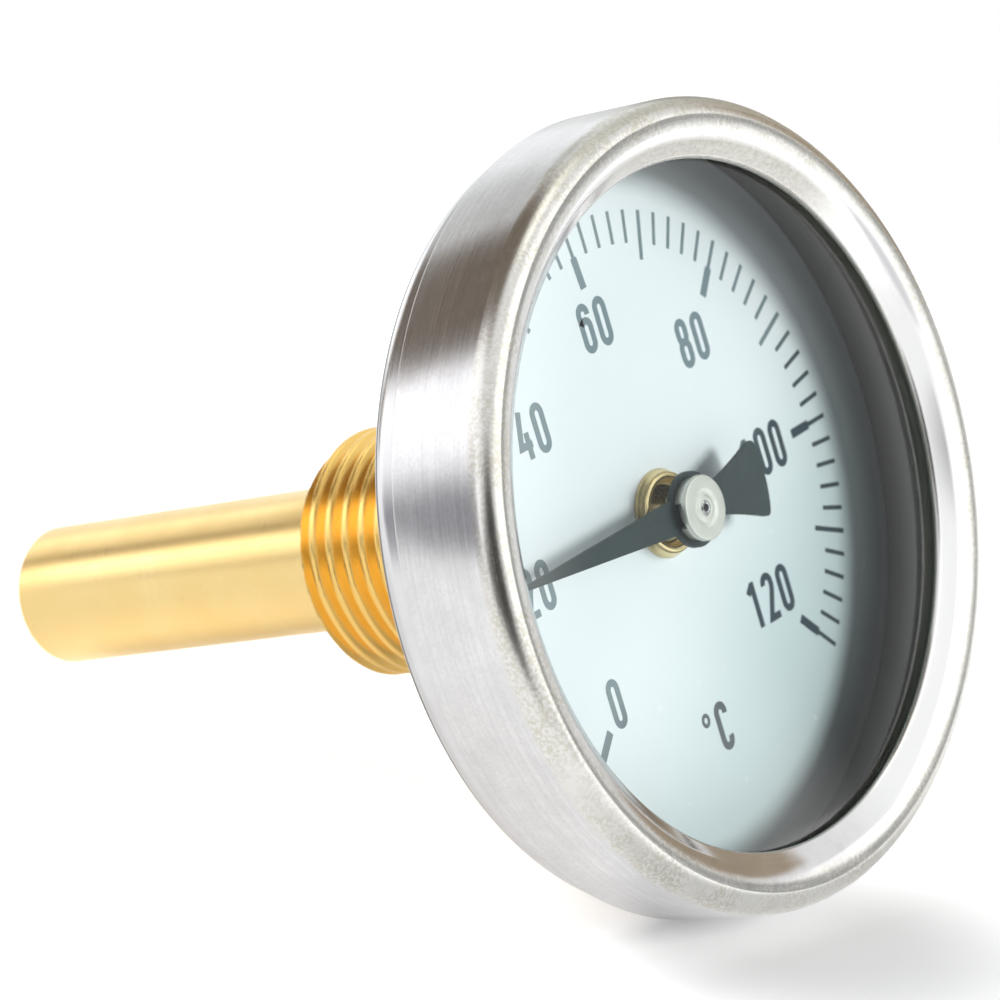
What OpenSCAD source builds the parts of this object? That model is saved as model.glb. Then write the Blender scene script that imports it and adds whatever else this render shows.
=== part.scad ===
// Dial thermometer with a rear stem and a screw-in pocket.
// Millimetres. The stem runs along +Y and the dial faces -Y, with +Z to the
// top of the dial. The origin is the centre of the pocket's sealing shoulder,
// where the pipe thread begins.

/* [Case] */
// Outer diameter of the front ring
bezel_d = 64.3; // [63.9:0.1:66]
// Depth of the front ring, from its front face to its rear edge
bezel_depth = 9.3; // [9:0.1:9.8]
// Radius rolled onto the outer front edge of the ring
bezel_edge_r = 1.9; // [1.5:0.1:2.2]
// Clear diameter of the opening in the front ring
window_d = 54.5; // [52:0.5:56]
// Sheet thickness of the front ring
bezel_t = 0.8; // [0.7:0.05:0.9]
// Sheet thickness of the rear case
case_t = 0.6; // [0.5:0.05:0.7]
// Radius rolled onto the rear edge of the case
case_edge_r = 2.2; // [1.8:0.1:2.4]
// Thickness of the window
glass_t = 1.6; // [1.2:0.1:1.7]

/* [Dial and pointer] */
// Thickness of the dial plate
dial_t = 0.5; // [0.4:0.1:0.6]
// Reach of the pointer from the spindle to its tip
pointer_reach = 22.2; // [19:0.1:24]
// Reach of the counterweight behind the spindle
tail_reach = 10.1; // [8:0.1:11]
// Thickness of the pointer
pointer_t = 0.4; // [0.3:0.05:0.5]
// Where the pointer rests, anticlockwise from the top of the dial
pointer_rest = 87; // [0:1:130]

/* [Stem and pocket] */
// Major diameter of the pipe thread, G 1/2
thread_d = 20.955; // [20.9:0.005:21]
// Pitch of the pipe thread
thread_pitch = 1.814; // [1.8:0.002:1.83]
// Length of the threaded part
thread_len = 13.3; // [12.8:0.1:14.6]
// Outer diameter of the pocket's tube
tube_d = 12.3; // [12:0.1:13]
// Length from the sealing shoulder to the tip of the pocket
pocket_len = 51.85; // [51:0.05:54]
// Size of the pocket's hexagon across its flats
hex_af = 24; // [24:0.5:25]
// Height of the pocket's hexagon
hex_h = 9; // [8.5:0.1:9]
// Diameter of the thermometer's own stem
stem_d = 9; // [8.9:0.05:9.1]

/* [Bimetal coil] */
// Number of turns in the coil
coil_turns = 9; // [6:1:10]
// Mean radius of the coil
coil_r = 3; // [2.95:0.05:3.05]
// Thickness of the bimetal strip
strip_t = 0.34; // [0.3:0.01:0.36]
// Width of the bimetal strip
strip_w = 2; // [1.6:0.1:2.1]

/* [Hidden] */
$fn = 96;

// Names ending in _y are stations along the axis, from the sealing shoulder.
// Where a part has a pair, _y0 is its front end and _y1 its back end.
overcut = 1; // how far a cutter runs past the part it cuts

// Case, from the dial forwards to the lip, then back to the rim
dial_y = -16.7;
dial_back_y = dial_y + dial_t;
seam_y = dial_y + 0.1;
front_y = seam_y - bezel_depth;
lip_y = front_y + 1.5;
glass_y0 = lip_y + bezel_t;
glass_y1 = glass_y0 + glass_t;
seal_t = 0.6;
rim_y = glass_y1 + seal_t;

bezel_r = bezel_d / 2;
case_r = bezel_r - bezel_t;
case_in_r = case_r - case_t;
lip_r = window_d / 2;
dial_r = case_in_r - 0.15;

// Back of the case, with its central recess and the parts clamped in it
back_y = -13.1;
recess_y1 = back_y - 0.35;
recess_y0 = recess_y1 - case_t;
washer_y0 = recess_y0 - 0.4;
nut_y0 = washer_y0 - 1.5;
neck_r = 4.6;
neck_bore_r = 3;
socket_y = -12.4;

// Pointer and the disc of its hub
pointer_y0 = dial_y - 3.15;
pointer_y1 = pointer_y0 + pointer_t;
disc_y0 = dial_y - 4.25;
disc_y1 = disc_y0 + 0.5;
hub_hole_r = 1.5;

// Stem and its plug
stem_r = stem_d / 2;
stem_in_r = stem_r - 0.5;
plug_y = 46.6;
stem_end_y = 48.6;

// Spindle and its bearings
spindle_r = 0.75;
pivot_r = 0.6;
bearing_r = spindle_r + 0.04;
guide_y0 = 13.5;
guide_y1 = 17;

// Coil. The plug's boss and the collar, both of radius coil_seat_r, stop just
// short of the flats inside the coil.
coil_y0 = 19;
coil_y1 = 45;
turn_steps = 24;
coil_steps = coil_turns * turn_steps;
coil_rise = coil_y1 - coil_y0 - strip_w;
coil_in_r = coil_r - strip_t / 2;
coil_out_r = coil_r + strip_t / 2;
strip_in_r = coil_in_r + 0.01;
coil_seat_r = coil_in_r * cos(180 / turn_steps) - 0.02;
anchor_r = 0.5;

// Bore for the lock screw
screw_r = 2;
screw_y = -hex_h / 2;

// Turns local z into +Y, so a lathe profile [radius, y] reads as it stands.
module axial() { rotate([-90, 0, 0]) children(); }
module lathe(profile) { axial() rotate_extrude() polygon(profile); }
module ring(in_r, out_r, y0, y1) {
    lathe([[in_r, y0], [out_r, y0], [out_r, y1], [in_r, y1]]);
}
module rod(r, y0, y1) { axial() translate([0, 0, y0]) cylinder(r = r, h = y1 - y0); }
module hex_bar(across_flats, y0, y1) {
    axial() translate([0, 0, y0]) cylinder(r = across_flats / sqrt(3), h = y1 - y0, $fn = 6);
}

// Points of an arc about (mid_x, mid_y), from angle a0 to a1 in n steps.
function arc(mid_x, mid_y, r, a0, a1, n = 10) =
    [for (i = [0:n]) let (a = a0 + (a1 - a0) * i / n) [mid_x + r * cos(a), mid_y + r * sin(a)]];

// Spun front ring: straight skirt, rolled edge and a flange that dips to the lip.
module bezel() {
    edge_x = bezel_r - bezel_edge_r;
    edge_y = front_y + bezel_edge_r;
    lip_round = bezel_t / 2;
    bevel = 0.12;
    color("lightgray") lathe(concat(
        [[case_r, seam_y], [bezel_r - bevel, seam_y], [bezel_r, seam_y - bevel]],
        arc(edge_x, edge_y, bezel_edge_r, 0, -90, 12),
        [[edge_x - 0.5, front_y + 0.06]],
        arc(lip_r + lip_round, lip_y + lip_round, lip_round, 270, 90, 8),
        [[edge_x - 0.6, front_y + bezel_t + 0.1]],
        arc(edge_x, edge_y, bezel_edge_r - bezel_t, -90, 0, 10)));
}

// Flat window with bevelled edges, held between the lip and the seal.
module window_glass() {
    glass_r = case_r - 0.15;
    bevel = 0.2;
    color([0.85, 0.93, 0.95, 0.35]) lathe([
        [0, glass_y0], [glass_r - bevel, glass_y0], [glass_r, glass_y0 + bevel],
        [glass_r, glass_y1 - bevel], [glass_r - bevel, glass_y1], [0, glass_y1]]);
}

// Flat rubber ring between the window and the rim of the rear case.
module window_seal() {
    color("dimgray") ring(case_in_r - 0.2, case_r - 0.05, glass_y1, rim_y);
}

// Drawn rear case, open to the front, with one hole for the neck.
module case_cup() {
    edge_x = case_r - case_edge_r;
    edge_y = back_y - case_edge_r;
    color("silver") lathe(concat(
        [[case_in_r, rim_y], [case_r, rim_y]],
        arc(edge_x, edge_y, case_edge_r, 0, 90, 10),
        [[13.2, back_y], [12.6, recess_y1], [neck_r, recess_y1],
         [neck_r, recess_y0], [12.4, recess_y0], [13, back_y - case_t]],
        arc(edge_x, edge_y, case_edge_r - case_t, 90, 0, 8)));
}

// Printed dial plate, its front edge bevelled.
module dial_plate() {
    bevel = 0.1;
    color("aliceblue") lathe([
        [neck_bore_r, dial_y], [dial_r - bevel, dial_y], [dial_r, dial_y + bevel],
        [dial_r, dial_back_y], [neck_bore_r, dial_back_y]]);
}

// Brass bush: clamps the dial to the neck and is the spindle's front bearing.
// A rounded bead stands around its sunken face.
module dial_collar() {
    bead_r = 0.62;
    bead_y = dial_y - 1;
    face_y = dial_y - 0.15;
    shank_end_y = socket_y - 0.6;
    color("gold") lathe(concat(
        [[bearing_r, face_y], [2.15, face_y], [2.45, bead_y + 0.12]],
        arc(neck_bore_r, bead_y + bead_r, bead_r, -120, 0, 10),
        [[neck_bore_r + bead_r, face_y], [3.5, dial_y], [neck_bore_r, dial_y],
         [neck_bore_r, shank_end_y], [bearing_r, shank_end_y]]));
}

// Turned neck that joins the stem to the case.
module case_neck() {
    bevel = 0.3;
    flange_r = 9.2;
    foot_r = 8.2;
    foot_y = -hex_h;
    color("goldenrod") lathe([
        [neck_bore_r, dial_back_y], [neck_r - bevel, dial_back_y],
        [neck_r, dial_back_y + bevel], [neck_r, recess_y1], [flange_r, recess_y1],
        [flange_r, -10.4], [foot_r, -9.4], [foot_r, foot_y],
        [stem_r, foot_y], [stem_r, socket_y], [neck_bore_r, socket_y]]);
}

// Lock washer between the nut and the case, notched around its rim.
module neck_washer() {
    notches = 12;
    notch_w = 0.5;
    color("silver") difference() {
        ring(neck_r + 0.05, 7.4, washer_y0, recess_y0);
        for (i = [0:notches - 1]) rotate([0, i * 360 / notches, 0])
            translate([6.5, back_y - 2, -notch_w / 2]) cube([2, 2, notch_w]);
    }
}

// Thin hexagon nut on the neck, inside the case, its front corners chamfered.
module neck_nut() {
    corner_r = 7;
    color("goldenrod") difference() {
        intersection() {
            hex_bar(12, nut_y0, washer_y0);
            lathe([[0, nut_y0], [6.1, nut_y0], [corner_r, nut_y0 + 0.5],
                   [corner_r, washer_y0], [0, washer_y0]]);
        }
        rod(neck_r, nut_y0 - overcut, washer_y0 + overcut);
    }
}

// Thin-walled stem.
module stem_tube() {
    color("silver") ring(stem_in_r, stem_r, socket_y, stem_end_y);
}

// Rod of the anchor pin's size along X, reaching half_len to either side.
module cross_rod(half_len) {
    translate([-half_len, coil_y1 - 1.6, 0]) rotate([0, 90, 0])
        cylinder(r = anchor_r, h = 2 * half_len);
}

// Plug that closes the stem and carries the fixed end of the coil.
module tip_plug() {
    cap_end_y = stem_end_y + 0.9;
    bevel = 0.5;
    color("goldenrod") difference() {
        union() {
            rod(stem_in_r, plug_y, stem_end_y);
            lathe([[0, stem_end_y], [stem_r, stem_end_y], [stem_r, cap_end_y - bevel],
                   [stem_r - bevel, cap_end_y], [0, cap_end_y]]);
            rod(coil_seat_r, coil_y1 - 3, plug_y);
        }
        cross_rod(5);
    }
}

// Cross pin that holds the fixed end of the coil in the plug.
module coil_anchor() {
    color("silver") cross_rod(coil_seat_r);
}

// Disc with a central bore that steadies the spindle inside the stem. Three
// smaller holes run through it around the bore.
module guide_bearing() {
    bevel = 0.3;
    color("goldenrod") difference() {
        lathe([[bearing_r, guide_y0], [stem_in_r - bevel, guide_y0],
               [stem_in_r, guide_y0 + bevel], [stem_in_r, guide_y1 - bevel],
               [stem_in_r - bevel, guide_y1], [bearing_r, guide_y1]]);
        for (a = [60, 180, 300]) rotate([0, a, 0]) translate([2.4, 0, 0])
            rod(0.6, guide_y0 - overcut, guide_y1 + overcut);
    }
}

// Strip of bimetal wound into a helix; heat makes its free end turn.
// Each step has four corners, and each pair of steps is joined by triangles.
function coil_point(step, r, across) =
    let (a = 360 * step / turn_steps)
        [r * sin(a), coil_y0 + coil_rise * step / coil_steps + across, r * cos(a)];
coil_points = [for (i = [0:coil_steps]) each [
    coil_point(i, strip_in_r, 0), coil_point(i, coil_out_r, 0),
    coil_point(i, coil_out_r, strip_w), coil_point(i, strip_in_r, strip_w)]];
coil_faces = concat(
    [[3, 2, 1, 0]],
    [for (i = [0:coil_steps - 1], k = [0:3])
        let (this = 4 * i + k, next = 4 * i + (k + 1) % 4)
            each [[this, next, next + 4], [this, next + 4, this + 4]]],
    [[for (k = [0:3]) 4 * coil_steps + k]]);
module bimetal_coil() {
    color("darkgray") polyhedron(points = coil_points, faces = coil_faces);
}

// Collar that joins the free end of the coil to the spindle.
module coil_collar() {
    shank_r = 1.6;
    shank_y = coil_y0 - 1.2;
    end_y = coil_y0 + strip_w;
    color("goldenrod") lathe([
        [spindle_r, shank_y], [shank_r, shank_y], [shank_r, coil_y0],
        [coil_seat_r, coil_y0], [coil_seat_r, end_y], [spindle_r, end_y]]);
}

// Long steel spindle with a finer pivot for the pointer's hub. The pivot's
// front end is dished.
module spindle() {
    tip_y = disc_y0 - 0.12;
    end_y = coil_y0 + strip_w + 0.8;
    bevel = 0.08;
    color("silver") lathe([
        [0, tip_y + 0.35], [0.32, tip_y + 0.05], [0.42, tip_y],
        [pivot_r - bevel, tip_y], [pivot_r, tip_y + bevel],
        [pivot_r, dial_y - 1.6], [spindle_r, dial_y - 1.45],
        [spindle_r, end_y], [0, end_y]]);
}

// Turns a part from the top of the dial to where the pointer rests.
module at_rest() { rotate([0, -pointer_rest, 0]) children(); }

// Flat pointer: long tapered blade, ring around the hub, flared counterweight.
// The outline runs clockwise from near the tip, with the blade along +x.
pointer_ring_r = 3.05;
root_half = 1.38; // half width of blade and tail where they meet the ring
root_a = asin(root_half / pointer_ring_r);
root_x = pointer_ring_r * cos(root_a);
tip_half = 0.08;
tip_x = pointer_reach - 0.3;
tip_x_half = 0.2;
tail_half = 3.16;
tail_round = 0.5;
tail_x = tail_reach - 1.2;
corner_x = tail_reach - 0.9;
corner_y = tail_half - tail_round;
tail_end_a = atan((corner_y + 0.12) / (corner_x + 0.48));
flare_steps = 8;

// Point on the tail's flared edge: s runs from 0 at the ring to 1, side is 1 or -1.
function tail_point(s, side) =
    [-root_x - (tail_x - root_x) * s,
     side * (root_half + (tail_half - 0.06 - root_half) * pow(s, 1.35))];
pointer_outline = concat(
    [[tip_x, tip_x_half], [pointer_reach, tip_half],
     [pointer_reach, -tip_half], [tip_x, -tip_x_half]],
    arc(0, 0, pointer_ring_r, -root_a, root_a - 180, 16),
    [for (i = [1:flare_steps]) tail_point(i / flare_steps, -1)],
    arc(-corner_x, -corner_y, tail_round, -90, -162, 5),
    arc(0, 0, tail_reach, tail_end_a - 180, -180 - tail_end_a, 10),
    arc(-corner_x, corner_y, tail_round, 162, 90, 5),
    [for (i = [flare_steps:-1:1]) tail_point(i / flare_steps, 1)],
    arc(0, 0, pointer_ring_r, 180 - root_a, root_a, 16));
module pointer() {
    color([0.33, 0.37, 0.37]) at_rest() translate([0, pointer_y1, 0])
        rotate([90, 0, 0]) linear_extrude(pointer_t) rotate(90) difference() {
            polygon(pointer_outline);
            circle(r = hub_hole_r);
        }
}

// Flanged hub: its bush is pressed through the pointer and onto the spindle.
// A notch in the barrel behind the disc faces the pointer's blade.
module pointer_hub() {
    disc_r = 2.64;
    barrel_r = 2.5;
    bush_r = 1.9;
    bush_end_y = dial_y - 1.7;
    notch_w = 1.9;
    color("silver") difference() {
        lathe([
            [pivot_r, disc_y0 - 0.04], [0.9, disc_y0 - 0.04], [1.05, disc_y0 + 0.08],
            [1.4, disc_y0 + 0.08], [1.55, disc_y0], [barrel_r, disc_y0],
            [disc_r, disc_y0 + 0.12], [disc_r, disc_y1], [barrel_r, disc_y1],
            [barrel_r, pointer_y0], [hub_hole_r, pointer_y0], [hub_hole_r, pointer_y1],
            [bush_r, pointer_y1], [bush_r, bush_end_y], [pivot_r, bush_end_y]]);
        at_rest() translate([-notch_w / 2, disc_y1, 2])
            cube([notch_w, pointer_y0 - disc_y1, 1]);
    }
}

// Brass pocket: hexagon, pipe thread and closed tube. The thread is drawn as
// parallel grooves of the real pitch and depth, so its crests are true cylinders.
thread_r = thread_d / 2;
thread_depth = 1.162;
root_r = thread_r - thread_depth;
flank = thread_depth * tan(27.5);
root_w = 0.3;
thread_y0 = 0.9;
groove_count = floor((thread_len - thread_y0) / thread_pitch);
function groove(i) = let (y = thread_y0 + i * thread_pitch)
    [[thread_r, y], [root_r, y + flank],
     [root_r, y + flank + root_w], [thread_r, y + 2 * flank + root_w]];
module thermowell() {
    tube_r = tube_d / 2;
    tip_round = 0.7;
    bevel = 0.5;
    hex_face_r = hex_af / 2 - 0.35;
    hex_cone_r = hex_af / 2 + 2;
    hex_cone_h = 1.3;
    color("goldenrod") difference() {
        union() {
            intersection() {
                hex_bar(hex_af, -hex_h, 0);
                lathe([[0, -hex_h], [hex_face_r, -hex_h], [hex_cone_r, -hex_h + hex_cone_h],
                       [hex_cone_r, -hex_cone_h], [hex_face_r, 0], [0, 0]]);
            }
            lathe(concat(
                [[0, -1], [thread_r, -1]],
                [for (i = [0:groove_count - 1]) each groove(i)],
                [[thread_r, thread_y0 + groove_count * thread_pitch],
                 [thread_r, thread_len - bevel], [thread_r - bevel, thread_len],
                 [tube_r, thread_len]],
                arc(tube_r - tip_round, pocket_len - tip_round, tip_round, 0, 90, 6),
                [[0, pocket_len]]));
        }
        rod(stem_r + 0.08, -hex_h - overcut, pocket_len - 1.85);
        translate([0, screw_y, 0]) cylinder(r = screw_r + 0.03, h = 30);
    }
}

// Slotted grub screw along Z that clamps the neck of the stem in the pocket.
module lock_screw() {
    tip_z = stem_r + 0.03;
    head_z = hex_af / 2 - 0.4;
    point_r = 1.4;
    bevel = 0.3;
    slot_w = 0.6;
    color("silver") translate([0, screw_y, 0]) difference() {
        rotate_extrude() polygon([
            [0, tip_z], [point_r - 0.2, tip_z], [point_r, tip_z + 0.2], [point_r, tip_z + 0.8],
            [screw_r, tip_z + 1.4], [screw_r, head_z - bevel],
            [screw_r - bevel, head_z], [0, head_z]]);
        translate([-3, -slot_w / 2, head_z - 1.1]) cube([6, slot_w, 3]);
    }
}

bezel();
window_glass();
window_seal();
case_cup();
dial_plate();
dial_collar();
case_neck();
neck_nut();
neck_washer();
stem_tube();
tip_plug();
coil_anchor();
guide_bearing();
bimetal_coil();
coil_collar();
spindle();
pointer();
pointer_hub();
thermowell();
lock_screw();
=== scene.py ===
"""Looks of a rear-stem dial thermometer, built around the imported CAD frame.

The stem's axis is Y: the dial faces -Y and the stem runs to +Y. Seen from the front,
+Z is the top of the dial and +X its right. Sizes are in mm and are scaled by MM where
meshes are made; shader positions, lights and the camera are in metres unless noted.
"""

import math

import bmesh
import bpy
from mathutils import Matrix, Vector


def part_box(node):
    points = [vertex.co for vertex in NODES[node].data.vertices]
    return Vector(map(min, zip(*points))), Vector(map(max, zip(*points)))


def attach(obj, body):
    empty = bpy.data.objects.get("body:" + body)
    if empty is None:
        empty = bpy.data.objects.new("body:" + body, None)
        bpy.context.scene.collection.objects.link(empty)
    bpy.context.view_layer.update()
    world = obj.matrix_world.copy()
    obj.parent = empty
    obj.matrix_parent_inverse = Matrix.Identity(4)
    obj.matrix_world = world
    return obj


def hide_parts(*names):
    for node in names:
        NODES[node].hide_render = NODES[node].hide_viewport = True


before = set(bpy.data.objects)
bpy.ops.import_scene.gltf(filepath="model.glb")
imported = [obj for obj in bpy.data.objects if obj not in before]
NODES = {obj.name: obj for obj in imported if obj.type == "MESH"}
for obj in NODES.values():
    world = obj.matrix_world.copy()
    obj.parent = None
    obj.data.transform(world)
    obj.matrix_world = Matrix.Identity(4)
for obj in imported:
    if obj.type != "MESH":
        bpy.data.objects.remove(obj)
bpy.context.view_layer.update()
MM = 0.001
scene = bpy.context.scene


# ---------------------------------------------------------------- sizes (mm)
def extent(node):
    """A CAD piece's outer x, front y and back y."""
    low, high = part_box(node)
    return high[0] / MM, low[1] / MM, high[1] / MM


BEZEL_R, FRONT_Y, SEAM_Y = extent("bezel")
GLASS_R, GLASS_Y, GLASS_BACK = extent("window_glass")
_, SEAL_Y, SEAL_BACK = extent("window_seal")
CUP_R, RIM_Y, BACK_Y = extent("case_cup")
DIAL_R, DIAL_Y, DIAL_BACK = extent("dial_plate")
_, BUSH_Y, BUSH_BACK = extent("dial_collar")
_, HUB_Y, HUB_BACK = extent("pointer_hub")
_, POINTER_Y, POINTER_BACK = extent("pointer")
_, HEX_Y, TIP_Y = extent("thermowell")
HEX_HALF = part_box("thermowell")[1][2] / MM  # axis to a flat of the hexagon

BEZEL_T, CUP_T = 0.8, 0.6  # wall thicknesses
EDGE_R = 1.9  # roll of the bezel's front edge
LIP_R = 27.25  # the bezel's opening
CUP_EDGE_R, CUP_RECESS = 2.2, 0.35  # the cup's back corner, and its sunk middle
DIAL_HOLE_R = 3
THREAD_R, PITCH, THREAD_L = 10.4775, 1.814, 13.3
TUBE_R, BORE_R, BORE_END = 6.15, 4.58, 50.0


# ---------------------------------------------------------------- mesh tools
def ellipse(cx, cy, rx, ry, start, end, n=10):
    """n + 1 points along an ellipse, from start to end degrees."""
    angles = [math.radians(start + (end - start) * i / n) for i in range(n + 1)]
    return [(cx + rx * math.cos(a), cy + ry * math.sin(a)) for a in angles]


def arc(cx, cy, r, start, end, n):
    return ellipse(cx, cy, r, r, start, end, n)


def rounded(points, seg):
    """A profile of (r, y) or (r, y, fillet radius), with each stated corner rounded."""
    out = []
    for i, point in enumerate(points):
        fillet = point[2] if len(point) > 2 else 0
        corner = Vector(point[:2])
        if fillet <= 0:
            out.append((corner.x, corner.y))
            continue
        before = Vector(points[i - 1][:2]) - corner
        after = Vector(points[(i + 1) % len(points)][:2]) - corner
        before_len, after_len = before.length, after.length
        before.normalize()
        after.normalize()
        half = math.acos(max(-1.0, min(1.0, before.dot(after)))) / 2
        cut = min(fillet / math.tan(half), 0.49 * before_len, 0.49 * after_len)
        fillet = cut * math.tan(half)
        centre = corner + (before + after).normalized() * (fillet / math.sin(half))
        start, end = corner + before * cut - centre, corner + after * cut - centre
        first = math.atan2(start.y, start.x)
        turn = math.atan2(end.y, end.x) - first
        turn = (turn + math.pi) % (2 * math.pi) - math.pi
        for k in range(seg + 1):
            a = first + turn * k / seg
            out.append((centre.x + fillet * math.cos(a), centre.y + fillet * math.sin(a)))
    return out


def make_object(name, bm, smooth):
    """Links a mesh object, with edges sharper than smooth degrees kept sharp (0: none)."""
    bmesh.ops.recalc_face_normals(bm, faces=bm.faces)
    mesh = bpy.data.meshes.new(name)
    bm.to_mesh(mesh)
    bm.free()
    mesh.shade_smooth()
    if smooth:
        mesh.set_sharp_from_angle(angle=math.radians(smooth))
    ob = bpy.data.objects.new(name, mesh)
    scene.collection.objects.link(ob)
    return ob


def ring_point(bm, angle, r, y):
    """A vertex at this angle about Y, clockwise from the top as seen from the front."""
    return bm.verts.new((r * MM * math.sin(angle), y * MM, r * MM * math.cos(angle)))


def lathe(name, profile, seg=192, smooth=35):
    """Turns (r, y) or (r, y, shape) rows about Y; shape(angle, r, y) gives the true radius.

    A profile that starts off the axis is closed into a loop.
    """
    bm = bmesh.new()
    rings = []
    for r, y, *shape in profile:
        if r < 1e-6:
            rings.append([bm.verts.new((0, y * MM, 0))])
            continue
        ring = []
        for i in range(seg):
            a = 2 * math.pi * i / seg
            ring.append(ring_point(bm, a, shape[0](a, r, y) if shape else r, y))
        rings.append(ring)
    pairs = list(zip(rings, rings[1:]))
    if len(rings[0]) > 1:
        pairs.append((rings[-1], rings[0]))
    for a, b in pairs:
        for i in range(seg):
            j = (i + 1) % seg
            if len(a) == 1:
                bm.faces.new((a[0], b[i], b[j]))
            elif len(b) == 1:
                bm.faces.new((a[i], b[0], a[j]))
            else:
                bm.faces.new((a[i], b[i], b[j], a[j]))
    return make_object(name, bm, smooth)


# ---------------------------------------------------------------- shader tools
class Graph:
    """Short helpers over a shader node tree."""

    def __init__(self, tree):
        self.tree = tree

    def node(self, kind, **props):
        node = self.tree.nodes.new(kind)
        for name, value in props.items():
            setattr(node, name, value)
        return node

    def put(self, value, socket):
        """Links an output into a socket, or sets the socket's value."""
        if hasattr(value, "links"):
            self.tree.links.new(value, socket)
        elif isinstance(value, tuple) and len(value) == 3 and socket.type == "RGBA":
            socket.default_value = (*value, 1)
        else:
            socket.default_value = value

    def math(self, operation, a, b=0.0, clamp=False):
        node = self.node("ShaderNodeMath", operation=operation, use_clamp=clamp)
        for value, socket in zip((a, b, 0.0), node.inputs):
            self.put(value, socket)
        return node.outputs[0]

    def add(self, a, b):
        return self.math("ADD", a, b)

    def sub(self, a, b):
        return self.math("SUBTRACT", a, b)

    def mul(self, a, b):
        return self.math("MULTIPLY", a, b)

    def split(self, vector):
        node = self.node("ShaderNodeSeparateXYZ")
        self.put(vector, node.inputs[0])
        return node.outputs

    def ramp(self, value, over, to=(0, 1), smooth=False):
        """Maps the range over to the range to, clamped."""
        node = self.node("ShaderNodeMapRange", clamp=True)
        if smooth:
            node.interpolation_type = "SMOOTHSTEP"
        self.put(value, node.inputs["Value"])
        for name, limit in zip(("From Min", "From Max", "To Min", "To Max"), (*over, *to)):
            node.inputs[name].default_value = limit
        return node.outputs["Result"]

    def ease(self, value, over, to=(0, 1)):
        return self.ramp(value, over, to, smooth=True)

    def mix(self, factor, a, b):
        """Colour a at factor 0, b at 1."""
        node = self.node("ShaderNodeMix", data_type="RGBA")
        for value, index in ((factor, 0), (a, 6), (b, 7)):
            self.put(value, node.inputs[index])
        return node.outputs[2]


class Mat(Graph):
    """A Principled material patterned in object space."""

    def __init__(self, name):
        self.material = bpy.data.materials.new(name)
        self.material.use_nodes = True
        super().__init__(self.material.node_tree)
        self.shader = self.tree.nodes["Principled BSDF"]
        self.surface = self.tree.nodes["Material Output"].inputs["Surface"]
        self.coords = self.node("ShaderNodeTexCoord").outputs["Object"]

    def set(self, **inputs):
        for name, value in inputs.items():
            self.put(value, self.shader.inputs[name.replace("_", " ")])
        return self

    def xyz(self):
        return self.split(self.coords)

    def geometry(self, output):
        return self.node("ShaderNodeNewGeometry").outputs[output]

    def vec(self, x, y, z):
        node = self.node("ShaderNodeCombineXYZ")
        for value, socket in zip((x, y, z), node.inputs):
            self.put(value, socket)
        return node.outputs[0]

    def radius(self):
        """Distance from the stem's axis, in mm."""
        x, _, z = self.xyz()
        return self.mul(self.math("SQRT", self.add(self.mul(x, x), self.mul(z, z))), 1000.0)

    def y_mm(self):
        return self.mul(self.xyz()[1], 1000.0)

    def noise(self, scale, detail=3.0, rough=0.6, vector=None, distortion=0.0):
        node = self.node("ShaderNodeTexNoise")
        self.put(vector or self.coords, node.inputs["Vector"])
        node.inputs["Scale"].default_value = scale
        node.inputs["Detail"].default_value = detail
        node.inputs["Roughness"].default_value = rough
        node.inputs["Distortion"].default_value = distortion
        return node.outputs["Fac"]

    def bump(self, height, strength, depth, normal=None):
        """A normal bumped by height; depth in mm."""
        node = self.node("ShaderNodeBump")
        node.inputs["Strength"].default_value = strength
        node.inputs["Distance"].default_value = depth * MM
        self.put(height, node.inputs["Height"])
        if normal is not None:
            self.put(normal, node.inputs["Normal"])
        return node.outputs["Normal"]

    def turned(self, across, around, detail=3):
        """Noise stretched around the axis, as turning or circular brushing leaves it."""
        x, _, z = self.xyz()
        streaks = self.vec(
            self.mul(self.math("ARCTAN2", x, z), around),
            self.mul(self.xyz()[1], across),
            self.mul(self.radius(), across * MM),
        )
        return self.noise(scale=1.0, detail=detail, vector=streaks)

    def brushed(self, amount):
        """Highlights drawn out around the axis."""
        self.set(Anisotropic=amount, Anisotropic_Rotation=0.25)
        tangent = self.node("ShaderNodeTangent", direction_type="RADIAL", axis="Y")
        return self.set(Tangent=tangent.outputs[0])


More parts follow.
